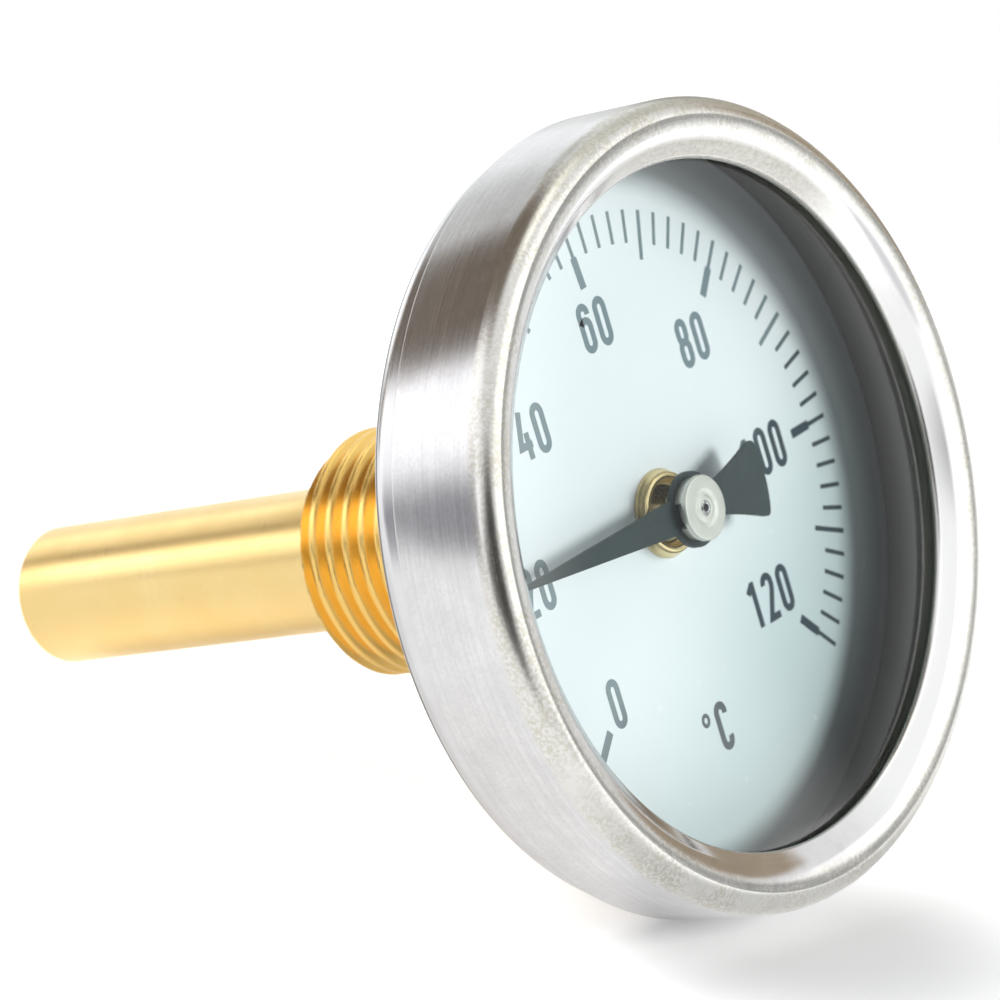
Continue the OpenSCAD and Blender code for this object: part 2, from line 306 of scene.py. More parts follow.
# ---------------------------------------------------------------- materials
def ring_steel():
    """Satin turned skirt, worn rolled edge, polished dip to the window, with painted shade and
    painted reflections over them.
    """
    mat = Mat("ring_steel")
    radius, y = mat.radius(), mat.y_mm()
    fine = mat.turned(across=9000, around=2.0)
    streak = mat.turned(across=2600, around=0.6, detail=4)
    mottle = mat.noise(scale=420)
    cast = mat.noise(scale=3400)
    grime = mat.noise(scale=260, detail=4, rough=0.65)

    # Zones: skirt behind, inner dip with a wandering border, and the edge between them.
    skirt = mat.ease(y, over=(FRONT_Y + 1.5, FRONT_Y + 2.0))
    wander = mat.mul(mat.sub(mat.noise(scale=90), 0.5), 1.6)
    inner = mat.ease(mat.add(radius, wander), over=(28.9, 29.9), to=(1, 0))
    either = mat.math("MAXIMUM", skirt, inner, clamp=True)
    edge = mat.math("SUBTRACT", 1.0, either, clamp=True)

    # Painted shade: the back of the lip and the inner face of the skirt are darkened and less
    # metallic.
    normal = mat.split(mat.geometry("Normal"))
    back_shade = mat.mul(
        mat.ramp(normal[1], over=(0.15, 0.5)), mat.ramp(radius, over=(31.3, 31.5), to=(1, 0))
    )
    skirt_inside_shade = mat.mul(
        mat.ramp(y, over=(FRONT_Y + 1.6, FRONT_Y + 1.9)),
        mat.ramp(radius, over=(BEZEL_R - 0.7, BEZEL_R - 0.6), to=(1, 0)),
    )
    back_shade = mat.math("MAXIMUM", back_shade, skirt_inside_shade)

    # Painted dark reflection where the edge turns away from the front, at the upper right only.
    facing = mat.mul(mat.sub(0.0, normal[1]), 1.0)
    turn = mat.ease(facing, over=(0.45, 0.66))
    turn = mat.mul(turn, mat.ease(facing, over=(0.80, 0.93), to=(1, 0)))
    lean = mat.add(mat.xyz()[2], mat.mul(mat.xyz()[0], 0.6))
    dark_reflection = mat.mul(turn, mat.ease(lean, over=(0.018, 0.030)))

    # Scattered small pits.
    cells = mat.node("ShaderNodeTexVoronoi", feature="F1")
    mat.put(mat.coords, cells.inputs["Vector"])
    cells.inputs["Scale"].default_value = 1500
    pits = mat.ramp(cells.outputs["Distance"], over=(0.03, 0.12), to=(1, 0))
    pits = mat.mul(pits, mat.ramp(mat.noise(scale=700, detail=2, rough=0.55), over=(0.55, 0.66)))

    # Colour: mottled steel, skirt streaks, edge dirt, painted dark reflection, warm edge, pits.
    base = mat.mix(mat.ramp(mottle, over=(0.3, 0.7)), (0.70, 0.695, 0.70), (0.79, 0.785, 0.79))
    dirt = mat.mul(
        mat.ramp(cast, over=(0.44, 0.58), to=(1, 0)),
        mat.ramp(grime, over=(0.40, 0.60), to=(0.15, 0.65)),
    )
    streaky = mat.ramp(mat.add(streak, mat.mul(cast, 0.8)), over=(0.7, 1.1))
    base = mat.mix(mat.mul(streaky, mat.mul(skirt, 0.6)), base, (0.60, 0.595, 0.60))
    base = mat.mix(mat.mul(edge, dirt), base, (0.46, 0.43, 0.34))
    # Painted dark reflection: a mottled darker grey on the rolled edge's upper right.
    dark_reflection_colour = mat.mix(mat.ramp(cast, over=(0.35, 0.6)), (0.33, 0.32, 0.27), (0.50, 0.49, 0.44))
    base = mat.mix(mat.mul(dark_reflection, 0.9), base, dark_reflection_colour)
    base = mat.mix(mat.mul(edge, 0.25), base, (0.80, 0.78, 0.66))
    pit_depth = mat.add(0.25, mat.mul(edge, 0.3))
    base = mat.mix(mat.mul(pits, pit_depth), base, (0.25, 0.23, 0.19))

    # Painted highlight on the dip at the right, and a painted dark reflection at its lower left.
    place = mat.xyz()
    right = mat.ease(mat.sub(place[0], mat.mul(place[2], 0.4)), over=(0.009, 0.020))
    lower = mat.mul(
        mat.ease(place[0], over=(-0.008, -0.018)), mat.ease(place[2], over=(0.012, 0.0))
    )
    base = mat.mix(mat.mul(inner, mat.mul(right, 0.95)), base, (0.96, 0.96, 0.955))
    base = mat.mix(mat.mul(inner, mat.mul(lower, 0.35)), base, (0.52, 0.515, 0.50))
    # Painted shade on the back of the lip and inside the skirt.
    base = mat.mix(back_shade, base, (0.24, 0.225, 0.19))

    # Roughness: more on the grimy edge and the painted dark reflection, less in the dip.
    rough = mat.add(
        mat.ramp(fine, over=(0.3, 0.7), to=(0.17, 0.24)),
        mat.mul(edge, mat.ramp(grime, over=(0.3, 0.7), to=(0.0, 0.08))),
    )
    rough = mat.sub(rough, mat.mul(inner, 0.10))
    rough = mat.add(rough, mat.mul(dark_reflection, 0.12))

    # Relief: turning lines mostly on the skirt, cast grain on the edge, broad waves.
    lines = mat.add(mat.mul(fine, 0.5), streak)
    lines = mat.mul(lines, mat.add(0.10, mat.mul(skirt, 0.5)))
    relief = mat.bump(lines, strength=0.11, depth=0.03)
    grain = mat.add(cast, mat.mul(streak, 1.2))
    grain = mat.mul(grain, mat.add(mat.mul(edge, 0.9), 0.06))
    relief = mat.bump(grain, strength=0.14, depth=0.05, normal=relief)
    waves = mat.noise(scale=130, detail=2, rough=0.55)
    relief = mat.bump(waves, strength=0.04, depth=0.5, normal=relief)

    # The painted shade and the painted dark reflection also make the metal less metallic.
    painted_dark = mat.math("MAXIMUM", back_shade, mat.mul(dark_reflection, 0.7))
    metal = mat.sub(1.0, mat.mul(painted_dark, 0.5))
    mat.set(Base_Color=base, Metallic=metal, Roughness=rough, Normal=relief)
    return mat.brushed(mat.mul(skirt, 0.5))


def steel(name, base, rough, brush=0.8, aniso=0.3, inside=None, hollow=None):
    """inside: radius below which the shell gets painted shade, darkest near the dial; hollow:
    radius of a dimple darkened with painted shade.
    """
    mat = Mat(name)
    fine = mat.turned(across=12000, around=2.0)
    blotch = mat.noise(scale=220)
    dark = tuple(c * 0.9 for c in base)
    colour = mat.mix(mat.ramp(blotch, over=(0.35, 0.7)), dark, base)
    metal = 1.0
    if inside:
        # Painted shade on the cup's inside, darkest next to the dial and lighter towards the front.
        cup_inside_shade = mat.ramp(mat.radius(), over=(inside - 0.1, inside), to=(1, 0))
        before_back = mat.ramp(mat.y_mm(), over=(BACK_Y - 0.9, BACK_Y - 0.8), to=(1, 0))
        cup_inside_shade = mat.mul(cup_inside_shade, before_back)
        front = mat.ease(mat.y_mm(), over=(DIAL_Y - 3.6, DIAL_Y - 0.6), to=(1, 0))
        shade = mat.mix(front, (0.012, 0.0125, 0.014), (0.085, 0.08, 0.065))
        colour = mat.mix(cup_inside_shade, colour, shade)
        metal = mat.sub(1.0, mat.mul(cup_inside_shade, 0.6))
    if hollow:
        # Painted shade in the dimple at the pin's end.
        dimple = mat.ramp(mat.radius(), over=(hollow - 0.06, hollow), to=(0.93, 0))
        colour = mat.mix(dimple, colour, (0.03, 0.03, 0.035))
    wear = mat.add(fine, mat.mul(blotch, 0.5))
    grain = mat.bump(mat.noise(scale=900, rough=0.55), strength=0.03, depth=0.05)
    mat.set(
        Base_Color=colour,
        Metallic=metal,
        Roughness=mat.ramp(wear, over=(0.4, 1.1), to=(rough * 0.75, rough * 1.35)),
        Normal=mat.bump(fine, strength=0.05 * brush, depth=0.03, normal=grain),
    )
    return mat.brushed(aniso)


def brass(name, base, deep, rough, bush=False, bright=False):
    """bush: painted shade round the bore and on the outer rim; bright: yellower ahead of the
    thread's end.
    """
    mat = Mat(name)
    fine = mat.turned(across=9000, around=1.6)
    blotch = mat.noise(scale=130, detail=4)
    spots = mat.noise(scale=1500, detail=2, rough=0.5)
    colour = mat.mix(mat.ramp(blotch, over=(0.35, 0.68)), base, deep)
    colour = mat.mix(mat.ramp(spots, over=(0.68, 0.78), to=(0, 0.2)), colour, (0.55, 0.36, 0.14))
    if bush:
        radius = mat.radius()
        # Painted shade in the recess round the bore and on the outer rim.
        bore = mat.ramp(radius, over=(2.3, 2.6), to=(0.62, 0))
        colour = mat.mix(bore, colour, (0.20, 0.17, 0.11))
        rim = mat.ramp(radius, over=(3.42, 3.55), to=(0, 0.35))
        colour = mat.mix(rim, colour, (0.30, 0.25, 0.14))
    if bright:
        fitting = mat.ramp(mat.y_mm(), over=(13.2, 13.6), to=(1, 0))
        yellow = mat.mix(blotch, (0.99, 0.68, 0.225), (0.975, 0.635, 0.19))
        colour = mat.mix(fitting, colour, yellow)
    duller = mat.ramp(mat.y_mm(), over=(13.3, 13.8), to=(0.03, 0.10))
    wear = mat.ramp(mat.add(fine, blotch), over=(0.7, 1.3), to=(rough * 0.8, rough * 1.3))
    grain = mat.bump(spots, strength=0.03, depth=0.04)
    mat.set(
        Base_Color=colour,
        Metallic=1.0,
        Roughness=mat.add(duller, wear),
        Normal=mat.bump(fine, strength=0.036, depth=0.03, normal=grain),
    )
    return mat.brushed(0.3)


def dial_light_falloff(mat, over):
    """0 at the dial's upper left, 1 at its lower right: the painted light on the dial's paint and
    print fades that way.
    """
    x, _, z = mat.xyz()
    return mat.ease(mat.sub(mat.mul(x, 500.0), mat.mul(z, 800.0)), over)


def dial_white():
    mat = Mat("dial_white")
    cloud = mat.noise(scale=60, rough=0.5)
    grain = mat.noise(scale=5200, detail=2, rough=0.5)
    speck = mat.noise(scale=900, detail=1, rough=0.4)
    colour = mat.mix(cloud, (0.80, 0.85, 0.865), (0.83, 0.87, 0.885))
    # Painted shade: the dial darkens towards its lower right.
    colour = mat.mix(dial_light_falloff(mat, over=(1.0, 19.0)), colour, (0.575, 0.665, 0.672))
    specks = mat.ramp(speck, over=(0.735, 0.76), to=(0, 0.35))
    colour = mat.mix(specks, colour, (0.90, 0.92, 0.92))
    # Painted shade near the dial's edge, beneath the lip.
    rim = mat.ease(mat.radius(), over=(26.4, 29.7), to=(0, 0.72))
    colour = mat.mix(rim, colour, (0.16, 0.18, 0.19))
    return mat.set(
        Base_Color=colour,
        Roughness=mat.ramp(cloud, over=(0.3, 0.7), to=(0.42, 0.5)),
        Normal=mat.bump(grain, strength=0.06, depth=0.02),
        Specular_IOR_Level=0.35,
    )


def dial_ink():
    mat = Mat("dial_ink")
    grain = mat.noise(scale=2600)
    dark = mat.mix(grain, (0.014, 0.032, 0.043), (0.028, 0.052, 0.066))
    lit_ink = mat.mix(grain, (0.155, 0.215, 0.235), (0.19, 0.25, 0.27))
    # Painted light: the print is paler at the upper left, where light falls, and darker towards the
    # lower right.
    return mat.set(
        Base_Color=mat.mix(dial_light_falloff(mat, over=(2.0, 7.0)), lit_ink, dark),
        Roughness=mat.ramp(grain, over=(0.3, 0.7), to=(0.45, 0.6)),
        Normal=mat.bump(grain, strength=0.05, depth=0.01),
    )


def pointer_dark():
    mat = Mat("pointer_dark")
    grain = mat.noise(scale=1800)
    cloud = mat.noise(scale=140, detail=2, rough=0.5)
    return mat.set(
        Base_Color=mat.mix(cloud, (0.024, 0.036, 0.037), (0.034, 0.049, 0.050)),
        Roughness=mat.ramp(grain, over=(0.3, 0.7), to=(0.48, 0.62)),
        Normal=mat.bump(grain, strength=0.10, depth=0.02),
        Specular_IOR_Level=0.4,
    )


def hub_alloy():
    """Pale alloy with concentric turning rings."""
    mat = Mat("hub_alloy")
    rings = mat.noise(scale=1.0, vector=mat.vec(0.0, 0.0, mat.mul(mat.radius(), 9.0)))
    grain = mat.noise(scale=1200)
    tone = mat.ramp(rings, over=(0.35, 0.65))
    return mat.set(
        Base_Color=mat.mix(tone, (0.70, 0.70, 0.63), (0.80, 0.80, 0.73)),
        Metallic=0.55,
        Roughness=mat.ramp(grain, over=(0.3, 0.7), to=(0.28, 0.36)),
        Normal=mat.bump(rings, strength=0.06, depth=0.02),
    )


def grainy(name, scale, detail, dark, light, rough, strength, depth, metallic=0.0):
    """One noise drives the colour, the roughness range and the bump."""
    mat = Mat(name)
    grain = mat.noise(scale, detail)
    return mat.set(
        Base_Color=mat.mix(grain, dark, light),
        Metallic=metallic,
        Roughness=mat.ramp(grain, over=(0.3, 0.7), to=rough),
        Normal=mat.bump(grain, strength, depth),
    )


def window_clear():
    """Clear glass: see-through, with its Fresnel reflection and faint smears."""
    mat = Mat("window")
    mat.tree.nodes.remove(mat.shader)
    smear = mat.noise(scale=90, distortion=0.6)
    clear = mat.node("ShaderNodeBsdfTransparent")
    clear.inputs["Color"].default_value = (0.972, 0.99, 0.992, 1)
    gloss = mat.node("ShaderNodeBsdfGlossy")
    gloss.inputs["Color"].default_value = (1, 1, 1, 1)
    mat.put(mat.ramp(smear, over=(0.3, 0.8), to=(0.012, 0.05)), gloss.inputs["Roughness"])
    waves = mat.noise(scale=25, detail=1, rough=0.55)
    mat.put(mat.bump(waves, strength=0.02, depth=0.1), gloss.inputs["Normal"])
    fresnel = mat.node("ShaderNodeFresnel")
    fresnel.inputs["IOR"].default_value = 1.47
    # Only faces seen from outside the glass reflect.
    outside = mat.mul(fresnel.outputs[0], mat.sub(1.0, mat.geometry("Backfacing")))
    boost = mat.ramp(smear, over=(0.3, 0.8), to=(1.65, 1.85))
    blend = mat.node("ShaderNodeMixShader")
    mat.put(mat.mul(outside, boost), blend.inputs[0])
    mat.put(clear.outputs[0], blend.inputs[1])
    mat.put(gloss.outputs[0], blend.inputs[2])
    mat.put(blend.outputs[0], mat.surface)
    return mat


MATERIALS = {
    "ring": ring_steel(),
    "case": steel("case_steel", (0.745, 0.74, 0.75), rough=0.2, inside=CUP_R - 0.2),
    "pin": steel("pin_steel", (0.80, 0.80, 0.79), rough=0.2, brush=0.5, aniso=0.0, hollow=0.36),
    "stem": steel("stem_steel", (0.71, 0.70, 0.69), rough=0.24),
    "screw": steel("screw_steel", (0.60, 0.60, 0.60), rough=0.3, brush=1.0, aniso=0.1),
    "well": brass(
        "brass_bright", base=(0.985, 0.75, 0.345), deep=(0.965, 0.71, 0.30), rough=0.2, bright=True
    ),
    "bush": brass(
        "brass_collar", base=(0.92, 0.75, 0.42), deep=(0.84, 0.66, 0.33), rough=0.22, bush=True
    ),
    "inner": brass("brass_inner", base=(0.80, 0.60, 0.28), deep=(0.68, 0.47, 0.18), rough=0.3),
    "dial": dial_white(),
    "ink": dial_ink(),
    "pointer": pointer_dark(),
    "hub": hub_alloy(),
    "seal": grainy(
        "seal", scale=1500, detail=4, dark=(0.105, 0.10, 0.092), light=(0.15, 0.145, 0.132),
        rough=(0.6, 0.8), strength=0.2, depth=0.04,
    ),
    "bimetal": grainy(
        "bimetal", scale=700, detail=3, dark=(0.52, 0.48, 0.43), light=(0.66, 0.62, 0.56),
        rough=(0.25, 0.4), strength=0.1, depth=0.03, metallic=1.0,
    ),
    "window": window_clear(),
}


def dress(ob, look):
    ob.data.materials.clear()
    ob.data.materials.append(MATERIALS[look].material)


def piece(ob, look, body, slot, *stands_for):
    """Gives an object its material, the body it rides and what it replaces; slot is not used."""
    dress(ob, look)
    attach(ob, body)
    if stands_for:
        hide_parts(*stands_for)


# ---------------------------------------------------------------- front ring
edge_x, edge_y = BEZEL_R - EDGE_R, FRONT_Y + EDGE_R  # centre of the rolled edge
lip = BEZEL_T / 2
ring_profile = (
    [(BEZEL_R - BEZEL_T, SEAM_Y)]
    + arc(BEZEL_R - 0.16, SEAM_Y - 0.16, 0.16, 90, 0, 5)
    + arc(edge_x, edge_y, EDGE_R, 0, -84, 26)
    + [(edge_x - 0.9, FRONT_Y + 0.22), (edge_x - 1.8, FRONT_Y + 0.68)]
    + arc(LIP_R + lip, FRONT_Y + 1.5 + lip, lip, 252, 90, 14)
    + [(edge_x - 0.7, FRONT_Y + BEZEL_T + 0.35)]
    + arc(edge_x, edge_y, EDGE_R - BEZEL_T, -90, 0, 12)
)
ring = lathe("front_ring", ring_profile, 288, 40)
piece(ring, "ring", "head", "ring_steel", "bezel")

# ---------------------------------------------------------------- window, seal
window_profile = [
    (0, GLASS_Y), (GLASS_R, GLASS_Y, 0.25), (GLASS_R, GLASS_BACK, 0.25), (0, GLASS_BACK),
]
window = lathe("window", rounded(window_profile, 4), 192, 40)
piece(window, "window", "head", "window", "window_glass")

seal_in, seal_out = CUP_R - CUP_T - 0.2, CUP_R - 0.05
seal_profile = [
    (seal_in, SEAL_Y, 0.12), (seal_out, SEAL_Y, 0.12),
    (seal_out, SEAL_BACK, 0.12), (seal_in, SEAL_BACK, 0.12),
]
seal = lathe("window_seal_ring", rounded(seal_profile, 4))
piece(seal, "seal", "head", "seal", "window_seal")

# ---------------------------------------------------------------- rear case
corner_x, corner_y = CUP_R - CUP_EDGE_R, BACK_Y - CUP_EDGE_R
recess_y = BACK_Y - CUP_RECESS
NECK_HOLE_R = 4.6
back_profile = [
    (20, BACK_Y), (13.2, BACK_Y, 0.25), (12.6, recess_y, 0.25), (NECK_HOLE_R, recess_y),
]
cup = lathe(
    "rear_case",
    [(CUP_R - CUP_T, RIM_Y), (CUP_R, RIM_Y)]
    + arc(corner_x, corner_y, CUP_EDGE_R, 0, 90, 20)
    + rounded(back_profile, 4)
    + [(NECK_HOLE_R, recess_y - CUP_T), (12.4, recess_y - CUP_T), (13, BACK_Y - CUP_T)]
    + arc(corner_x, corner_y, CUP_EDGE_R - CUP_T, 90, 0, 12),
    288, 40,
)
piece(cup, "case", "head", "case_steel", "case_cup")

# ---------------------------------------------------------------- dial plate
dial_profile = [
    (DIAL_HOLE_R, DIAL_Y), (DIAL_R, DIAL_Y, 0.1), (DIAL_R, DIAL_BACK, 0.1),
    (DIAL_HOLE_R, DIAL_BACK),
]
dial = lathe("dial_disc", rounded(dial_profile, 3), 256, 40)
piece(dial, "dial", "head", "dial_white", "dial_plate")

# ---------------------------------------------------------------- printed scale
INK_UP, INK_FOOT = 0.018, 0.001  # heights of the ink's top and underside off the dial
TICK_END = 24.34
DIGIT_X, DIGIT_Z, PEN = 0.54, 1.72, 0.60  # half sizes of a digit's centre line, stroke width
DIGIT_STEP = 2.2

print_bm = bmesh.new()


def scale_angle(reading):
    """Degrees clockwise from the top of the dial; the scale tightens towards its low end."""
    past = reading - 60
    angle = -4.68 + 2.338 * past
    return angle + 0.00322 * past * past if past < 0 else angle


def ink_row(points, lift):
    return [print_bm.verts.new((x * MM, (DIAL_Y - lift) * MM, z * MM)) for x, z in points]


def prism(points):
    """A thin closed patch of ink on the dial from (x, z) corners in order."""
    top = ink_row(points, INK_UP)
    low = ink_row(points, INK_FOOT)
    print_bm.faces.new(top)
    print_bm.faces.new(low[::-1])
    for i in range(len(points)):
        j = (i + 1) % len(points)
        print_bm.faces.new((top[i], low[i], low[j], top[j]))


def ribbon(path, width, closed=False, lift=INK_UP):
    """A stroke along a path of (x, z) points, mitred at its corners."""
    n = len(path)
    left, right = [], []
    for i in range(n):
        here = Vector(path[i])
        after = (Vector(path[(i + 1) % n]) - here).normalized()
        before = (here - Vector(path[i - 1])).normalized() if closed or i > 0 else after
        if not closed and i == n - 1:
            after = before
        along = (before + after).normalized()
        mitre = width / 2 / max(0.35, along.dot(before))
        across = Vector((-along.y, along.x)) * mitre
        left.append(here + across)
        right.append(here - across)
    left_top, right_top = ink_row(left, lift), ink_row(right, lift)
    left_low, right_low = ink_row(left, INK_FOOT), ink_row(right, INK_FOOT)
    face = print_bm.faces.new
    for i in range(n if closed else n - 1):
        j = (i + 1) % n
        face((left_top[i], left_top[j], right_top[j], right_top[i]))
        face((left_low[j], left_low[i], right_low[i], right_low[j]))
        face((left_top[j], left_top[i], left_low[i], left_low[j]))
        face((right_top[i], right_top[j], right_low[j], right_low[i]))
    if not closed:
        face((left_top[0], right_top[0], right_low[0], left_low[0]))
        face((right_top[-1], left_top[-1], left_low[-1], right_low[-1]))


def tick(reading, start, end, width):
    a = math.radians(scale_angle(reading))
    out = Vector((math.sin(a), math.cos(a)))
    side = Vector((math.cos(a), -math.sin(a))) * (width / 2)
    prism([out * start - side, out * end - side, out * end + side, out * start + side])


def loop(cz, half_x, half_z, r):
    """An upright closed loop with end caps r high."""
    return ellipse(0, cz + half_z - r, half_x, r, 0, 180) + ellipse(
        0, cz - half_z + r, half_x, r, 180, 360
    )


# Strokes of each narrow character about its centre: (path of (x, z), closed).
GLYPHS = {
    "0": [(loop(0, DIGIT_X, DIGIT_Z, 0.62), True)],
    "8": [(loop(0.93, DIGIT_X * 0.93, 0.83, 0.55), True), (loop(-0.83, DIGIT_X, 0.93, 0.58), True)],
    "6": [(
        ellipse(0, DIGIT_Z - 0.56, DIGIT_X, 0.56, -12, 180)
        + [(-DIGIT_X, 0.4), (-DIGIT_X, -0.4)]
        + ellipse(0, -DIGIT_Z + 0.58, DIGIT_X, 0.58, 180, 360)
        + ellipse(0, 0.12, DIGIT_X, 0.5, 0, 160),
        False,
    )],
    "2": [(
        ellipse(0, DIGIT_Z - 0.56, DIGIT_X, 0.56, 190, 0)
        + [(DIGIT_X, 0.78), (0.42, 0.42), (-DIGIT_X, -DIGIT_Z), (DIGIT_X + 0.2, -DIGIT_Z)],
        False,
    )],
    "4": [
        ([(0.05, DIGIT_Z + 0.2), (-0.66, -0.8), (0.76, -0.8)], False),
        ([(0.30, 0.2), (0.30, -DIGIT_Z - 0.2)], False),
    ],
    "1": [
        ([(0.16, DIGIT_Z + 0.22), (0.16, -DIGIT_Z - 0.22)], False),
        ([(-0.58, DIGIT_Z - 0.66), (0.10, DIGIT_Z - 0.04)], False),
    ],
    "C": [(
        ellipse(0, DIGIT_Z - 0.6, DIGIT_X, 0.6, -18, 180)
        + ellipse(0, -DIGIT_Z + 0.6, DIGIT_X, 0.6, 180, 378),
        False,
    )],
}

# Text and the x, z of its centre.
LABELS = (
    ("0", -12.30, -11.54), ("20", -17.44, -0.25), ("40", -12.60, 10.90),
    ("60", -1.53, 16.23), ("80", 9.94, 11.51), ("1", 12.50, 0.12),
    ("00", 15.95, 0.35), ("120", 10.35, -10.72), ("C", -0.22, -17.98),
)


def write(text, x, z):
    first = x - DIGIT_STEP * (len(text) - 1) / 2
    for i, char in enumerate(text):
        width = PEN * (1.05 if char == "C" else 1)
        for k, (path, closed) in enumerate(GLYPHS[char]):
            placed = [(first + i * DIGIT_STEP + px, z + pz) for px, pz in path]
            # Each further stroke lies a little higher, so crossings don't coincide.
            ribbon(placed, width, closed, INK_UP + 0.002 * k)


for reading in range(0, 121, 2):
    if reading % 20 == 0:
        tick(reading, 21.85, TICK_END, 0.38)
        tick(reading, 19.28, 21.86, 0.78)
    elif reading % 10 == 0:
        tick(reading, 20.34, TICK_END, 0.42)
    else:
        tick(reading, 21.67, TICK_END, 0.37)
for text, x, z in LABELS:
    write(text, x, z)
# The degree ring before the C.
ribbon(ellipse(-2.29, -16.80, 0.38, 0.43, 0, 360, 20)[:-1], 0.33, True)
piece(make_object("printed_scale", print_bm, 30), "ink", "head", "dial_white")

# ---------------------------------------------------------------- brass bush at the dial's centre
BUSH_BORE = 0.79
bush = lathe(
    "dial_bush",
    [(BUSH_BORE, DIAL_Y - 0.2), (2.2, DIAL_Y - 0.2), (2.42, DIAL_Y - 0.26), (2.62, BUSH_Y + 0.34)]
    + arc(2.98, BUSH_Y + 0.36, 0.36, -165, -20, 14)
    + [(3.42, BUSH_Y + 0.5), (3.54, DIAL_Y - 0.25), (3.61, DIAL_Y - 0.1), (3.6, DIAL_Y)]
    + [(DIAL_HOLE_R, DIAL_Y), (DIAL_HOLE_R, BUSH_BACK), (BUSH_BORE, BUSH_BACK)],
    96, 50,
)
piece(bush, "bush", "head", "brass_bright", "dial_collar")

# ---------------------------------------------------------------- pointer hub
HUB_BORE = 0.6
BARREL_IN, BARREL_OUT = 1.96, 2.5
BLADE_ANGLE = math.radians(-87.0)
BLADE_GAP = math.asin(0.95 / 2.3)  # half the barrel's opening
BARREL_SEGMENTS = 72
barrel_y = HUB_Y + 0.5

# Hub face: radius and depth behind the hub's front.
HUB_FACE = (
    (HUB_BORE, 0.1), (0.63, 0.0), (0.70, -0.035), (0.84, -0.035), (0.94, 0.0), (1.02, 0.07),
    (1.1, 0.1), (1.32, 0.1), (1.42, 0.05), (1.52, 0.02), (1.66, 0.01), (2.36, 0.01),
)
hub = lathe(
    "hub_flange",
    [(r, HUB_Y + depth) for r, depth in HUB_FACE]
    + arc(2.46, HUB_Y + 0.18, 0.17, -90, 0, 6)
    + [(2.63, HUB_Y + 0.42)]
    + arc(2.56, HUB_Y + 0.42, 0.07, 0, 90, 3)
    + [(1.95, barrel_y), (1.95, POINTER_Y), (1.5, POINTER_Y), (1.5, POINTER_BACK)]
    + [(1.9, POINTER_BACK), (1.9, HUB_BACK), (HUB_BORE, HUB_BACK)],
    128, 45,
)


def hub_barrel():
    """Barrel behind the disc, open towards the blade."""
    bm = bmesh.new()
    section = (
        (BARREL_IN, barrel_y), (BARREL_OUT, barrel_y),
        (BARREL_OUT, POINTER_Y), (BARREL_IN, POINTER_Y),
    )
    sweep = 2 * math.pi - 2 * BLADE_GAP
    loops = []
    for i in range(BARREL_SEGMENTS + 1):
        a = BLADE_ANGLE + BLADE_GAP + sweep * i / BARREL_SEGMENTS
        loops.append([ring_point(bm, a, r, y) for r, y in section])
    for a, b in zip(loops, loops[1:]):
        for k in range(4):
            bm.faces.new((a[k], a[(k + 1) % 4], b[(k + 1) % 4], b[k]))
    bm.faces.new(loops[0][::-1])
    bm.faces.new(loops[-1])
    return make_object("hub_barrel", bm, 35)


piece(hub_barrel(), "hub", "movement", "hub_alloy")
piece(hub, "hub", "movement", "hub_alloy", "pointer_hub")

# ---------------------------------------------------------------- brass pocket
# 55 degree pipe thread with rounded crests and roots.
FLANK_ANGLE = math.radians(62.5)
FLANK = math.tan(FLANK_ANGLE)
CREST = 0.17 * PITCH  # rounding radius
CREST_X = CREST * math.sin(FLANK_ANGLE)
CREST_DROP = CREST * (1 - math.cos(FLANK_ANGLE))
THREAD_DEPTH = 2 * CREST_DROP + (PITCH / 2 - 2 * CREST_X) * FLANK
HEX_FACE_R = HEX_HALF - 0.35  # flat end face inside the chamfer
CHAMFER_R, CHAMFER_Y = 2.35, 1.3
SCREW_HOLE_R = 2.03


def hexagon(angle, r, _y):
    """Radius of the hexagon at this angle, cut back by the chamfer cone r."""
    off_flat = (math.degrees(angle) + 30) % 60 - 30
    return min(r, HEX_HALF / math.cos(math.radians(off_flat)))


def thread(angle, _r, y):
    """Radius of the right-handed thread; a crest lies at y 8.05 on the -x side."""
    phase = ((y - 0.34) / PITCH - angle / (2 * math.pi)) % 1.0
    off_crest = abs(phase - 0.5) * PITCH
    off_root = PITCH / 2 - off_crest
    if off_crest < CREST_X:
        drop = CREST - math.sqrt(CREST * CREST - off_crest * off_crest)
    elif off_root < CREST_X:
        drop = THREAD_DEPTH - (CREST - math.sqrt(CREST * CREST - off_root * off_root))
    else:
        drop = CREST_DROP + (off_crest - CREST_X) * FLANK
    r = THREAD_R - min(drop, THREAD_DEPTH)
    # The thread rises out of its root next to the hexagon and is chamfered at its end.
    fade_in = max(0.0, min(1.0, (y - 0.5) / 1.0))
    r = (THREAD_R - THREAD_DEPTH) * (1 - fade_in) + r * fade_in
    return min(r, THREAD_R - 0.05 - max(0.0, y - (THREAD_L - 0.3)) * 0.9)


